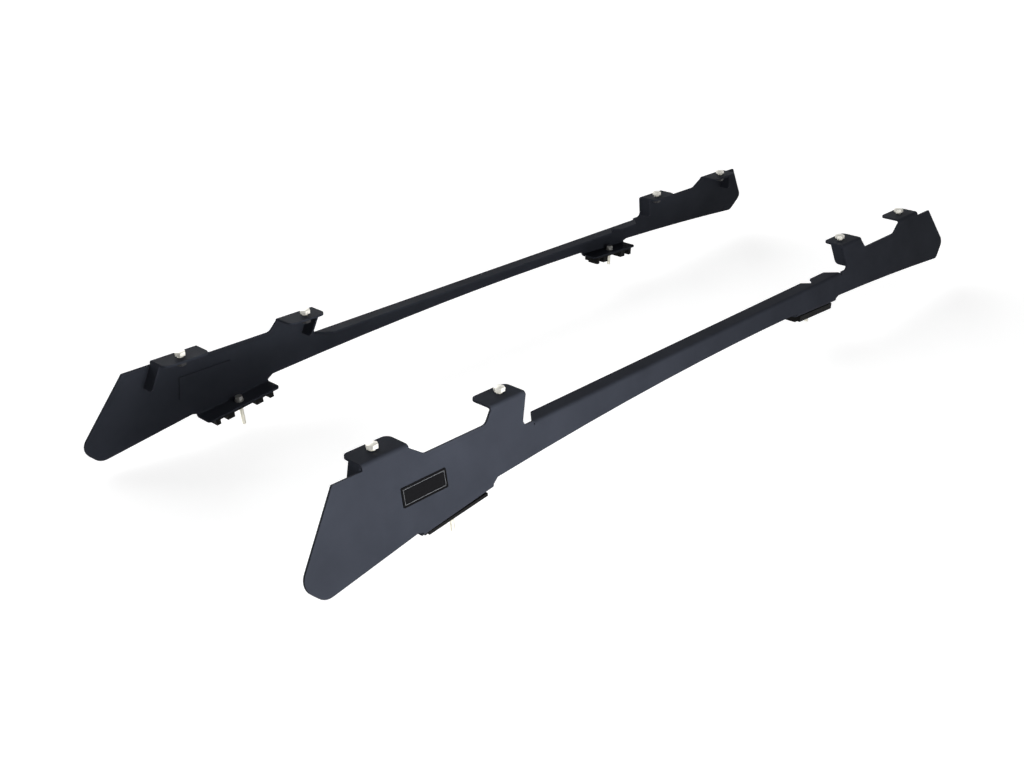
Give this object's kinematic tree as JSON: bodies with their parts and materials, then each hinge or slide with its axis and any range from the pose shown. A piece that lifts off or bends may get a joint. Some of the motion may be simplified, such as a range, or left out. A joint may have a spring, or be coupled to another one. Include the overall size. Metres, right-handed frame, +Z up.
{
  "type": "roof rack foot rails",
  "caption": "Folded steel roof rack foot rails with raised bolt tabs, gusseted posts and padded sloping feet, for carrying a rack along a vehicle's roof.",
  "frame": {"origin": "middle of the rack bolt layout, level with the tops of the rack tabs", "axes": "X along the vehicle with the front at -X, Y across it with the left rail at -Y, Z up"},
  "size_m": [1.448, 0.4534, 0.1462],
  "materials": {
    "rail_paint": "satin",
    "hardware": "satin",
    "pad_rubber": "matte",
    "badge_face": "satin"
  },
  "bodies": {
    "root": {"left_rail": "rail_paint", "left_front_pad": "pad_rubber", "left_rear_pad": "pad_rubber", "left_badge_backing": "rail_paint", "left_rack_bolts": "hardware", "left_rack_nuts": "rail_paint", "left_front_foot_bolt": "hardware", "left_rear_foot_bolt": "hardware", "left_foot_washers": "hardware", "left_foot_spring_washers": "hardware", "right_rail": "rail_paint", "right_front_pad": "pad_rubber", "right_rear_pad": "pad_rubber", "right_badge_backing": "rail_paint", "right_rack_bolts": "hardware", "right_rack_nuts": "rail_paint", "right_front_foot_bolt": "hardware", "right_rear_foot_bolt": "hardware", "right_foot_washers": "hardware", "right_foot_spring_washers": "hardware", "left_badge": "badge_face"}
  },
  "joints": []
}
